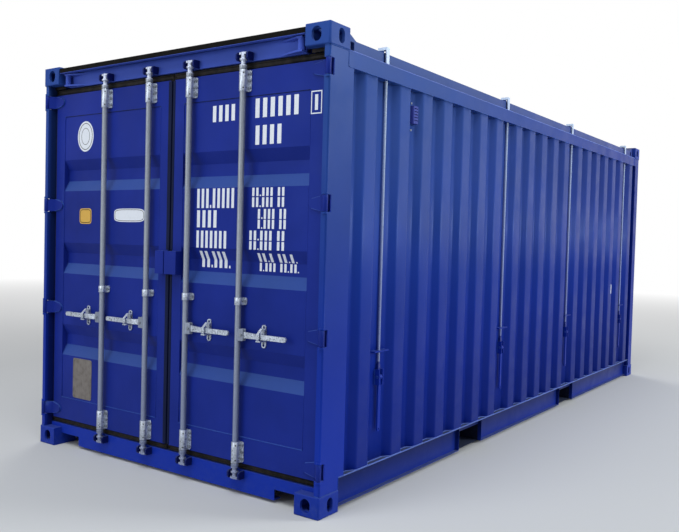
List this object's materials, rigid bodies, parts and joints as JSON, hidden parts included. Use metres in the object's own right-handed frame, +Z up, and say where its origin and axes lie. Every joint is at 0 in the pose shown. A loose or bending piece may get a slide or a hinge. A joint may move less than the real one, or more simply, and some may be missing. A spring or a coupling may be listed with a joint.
{
  "type": "shipping container",
  "caption": "Twenty-foot steel freight container with corrugated walls, double end doors with lock rods, and a lift-off roof held down by tie rods and levers.",
  "frame": {"origin": "centre of the footprint on the ground, under the middle of the container", "axes": "+Z up, +X along the length with the doors at -X, +Y to the left side as seen when facing the doors"},
  "size_m": [6.058, 2.438, 2.591],
  "materials": {
    "blue_paint": "satin marine paint on steel",
    "galvanised_steel": "hot-dip galvanised",
    "black_rubber": "matt rubber",
    "floor_timber": "sealed plywood"
  },
  "bodies": {
    "frame": {"bottom_castings": "blue_paint", "top_castings": "blue_paint", "door_post_right": "blue_paint", "door_post_left": "blue_paint", "front_posts": "blue_paint", "bottom_side_rail_right": "blue_paint", "bottom_side_rail_left": "blue_paint", "top_side_rail_right": "blue_paint", "top_side_rail_left": "blue_paint", "side_wall_right": "blue_paint", "side_wall_left": "blue_paint", "front_wall": "blue_paint", "front_sill": "blue_paint", "front_top_rail": "blue_paint", "door_sill": "blue_paint", "door_header": "blue_paint", "cam_keepers": "blue_paint", "crossmembers": "blue_paint", "fork_pockets": "blue_paint", "floor_boards": "floor_timber", "wall_vents": "blue_paint", "tie_brackets": "blue_paint", "tie_rods_left": "galvanised_steel", "tie_levers_left": "blue_paint"},
    "door_right": {"door_leaf_right": "blue_paint", "door_gasket_right": "black_rubber", "door_gear_right": "galvanised_steel"},
    "door_left": {"door_leaf_left": "blue_paint", "door_gasket_left": "black_rubber", "door_gear_left": "galvanised_steel"},
    "roof": {"roof_frame": "blue_paint", "roof_panel": "blue_paint", "roof_seals": "black_rubber"},
    "lock_rod_1": {"lock_rod_1": "galvanised_steel"},
    "handle_1": {"handle_1": "galvanised_steel"},
    "tie_rod_1": {"tie_rod_1": "galvanised_steel"},
    "tie_lever_1": {"tie_lever_1": "blue_paint"},
    "lock_rod_2": {"lock_rod_2": "galvanised_steel"},
    "handle_2": {"handle_2": "galvanised_steel"},
    "tie_rod_2": {"tie_rod_2": "galvanised_steel"},
    "tie_lever_2": {"tie_lever_2": "blue_paint"},
    "lock_rod_3": {"lock_rod_3": "galvanised_steel"},
    "handle_3": {"handle_3": "galvanised_steel"},
    "tie_rod_3": {"tie_rod_3": "galvanised_steel"},
    "tie_lever_3": {"tie_lever_3": "blue_paint"},
    "lock_rod_4": {"lock_rod_4": "galvanised_steel"},
    "handle_4": {"handle_4": "galvanised_steel"},
    "tie_rod_4": {"tie_rod_4": "galvanised_steel"},
    "tie_lever_4": {"tie_lever_4": "blue_paint"}
  },
  "joints": [
    {"name": "door_right_swing", "type": "hinge", "parent": "frame", "child": "door_right", "pos_m": [-3.013, -1.201, 1.3], "axis": [0, 0, 1], "range_deg": [0, 260]},
    {"name": "door_left_swing", "type": "hinge", "parent": "frame", "child": "door_left", "pos_m": [-3.013, 1.201, 1.3], "axis": [0, 0, -1], "range_deg": [0, 260]},
    {"name": "roof_lift", "type": "slide", "parent": "frame", "child": "roof", "axis": [0, 0, 1], "range_m": [0, 0.35]},
    {"name": "lock_rod_1_turn", "type": "hinge", "parent": "door_left", "child": "lock_rod_1", "pos_m": [-3, 0.6, 1.3], "axis": [0, 0, -1], "range_deg": [-100, 0]},
    {"name": "handle_1_lift", "type": "hinge", "parent": "lock_rod_1", "child": "handle_1", "pos_m": [-3, 0.637, 0.92], "axis": [-1, 0, 0], "range_deg": [-25, 0]},
    {"name": "lock_rod_2_turn", "type": "hinge", "parent": "door_left", "child": "lock_rod_2", "pos_m": [-3, 0.177, 1.3], "axis": [0, 0, -1], "range_deg": [-100, 0]},
    {"name": "handle_2_lift", "type": "hinge", "parent": "lock_rod_2", "child": "handle_2", "pos_m": [-3, 0.214, 0.92], "axis": [-1, 0, 0], "range_deg": [-25, 0]},
    {"name": "lock_rod_3_turn", "type": "hinge", "parent": "door_right", "child": "lock_rod_3", "pos_m": [-3, -0.177, 1.3], "axis": [0, 0, 1], "range_deg": [-100, 0]},
    {"name": "handle_3_lift", "type": "hinge", "parent": "lock_rod_3", "child": "handle_3", "pos_m": [-3, -0.214, 0.92], "axis": [1, 0, 0], "range_deg": [-25, 0]},
    {"name": "lock_rod_4_turn", "type": "hinge", "parent": "door_right", "child": "lock_rod_4", "pos_m": [-3, -0.6, 1.3], "axis": [0, 0, 1], "range_deg": [-100, 0]},
    {"name": "handle_4_lift", "type": "hinge", "parent": "lock_rod_4", "child": "handle_4", "pos_m": [-3, -0.637, 0.92], "axis": [1, 0, 0], "range_deg": [-25, 0]},
    {"name": "tie_lever_1_swing", "type": "hinge", "parent": "frame", "child": "tie_lever_1", "pos_m": [-2.435, -1.198, 0.678], "axis": [1, 0, 0], "range_deg": [-150, 0]},
    {"name": "tie_rod_1_slide", "type": "slide", "parent": "frame", "child": "tie_rod_1", "axis": [0, 0, 1], "range_m": [0, 0.05]},
    {"name": "tie_lever_2_swing", "type": "hinge", "parent": "frame", "child": "tie_lever_2", "pos_m": [-0.69, -1.198, 0.678], "axis": [1, 0, 0], "range_deg": [-150, 0]},
    {"name": "tie_rod_2_slide", "type": "slide", "parent": "frame", "child": "tie_rod_2", "axis": [0, 0, 1], "range_m": [0, 0.05]},
    {"name": "tie_lever_3_swing", "type": "hinge", "parent": "frame", "child": "tie_lever_3", "pos_m": [0.78, -1.198, 0.678], "axis": [1, 0, 0], "range_deg": [-150, 0]},
    {"name": "tie_rod_3_slide", "type": "slide", "parent": "frame", "child": "tie_rod_3", "axis": [0, 0, 1], "range_m": [0, 0.05]},
    {"name": "tie_lever_4_swing", "type": "hinge", "parent": "frame", "child": "tie_lever_4", "pos_m": [2.525, -1.198, 0.678], "axis": [1, 0, 0], "range_deg": [-150, 0]},
    {"name": "tie_rod_4_slide", "type": "slide", "parent": "frame", "child": "tie_rod_4", "axis": [0, 0, 1], "range_m": [0, 0.05]}
  ],
  "couplings": [
    {"joint": "tie_rod_1_slide", "follows": "tie_lever_1_swing", "m_per_rad": -0.019},
    {"joint": "tie_rod_2_slide", "follows": "tie_lever_2_swing", "m_per_rad": -0.019},
    {"joint": "tie_rod_3_slide", "follows": "tie_lever_3_swing", "m_per_rad": -0.019},
    {"joint": "tie_rod_4_slide", "follows": "tie_lever_4_swing", "m_per_rad": -0.019}
  ]
}
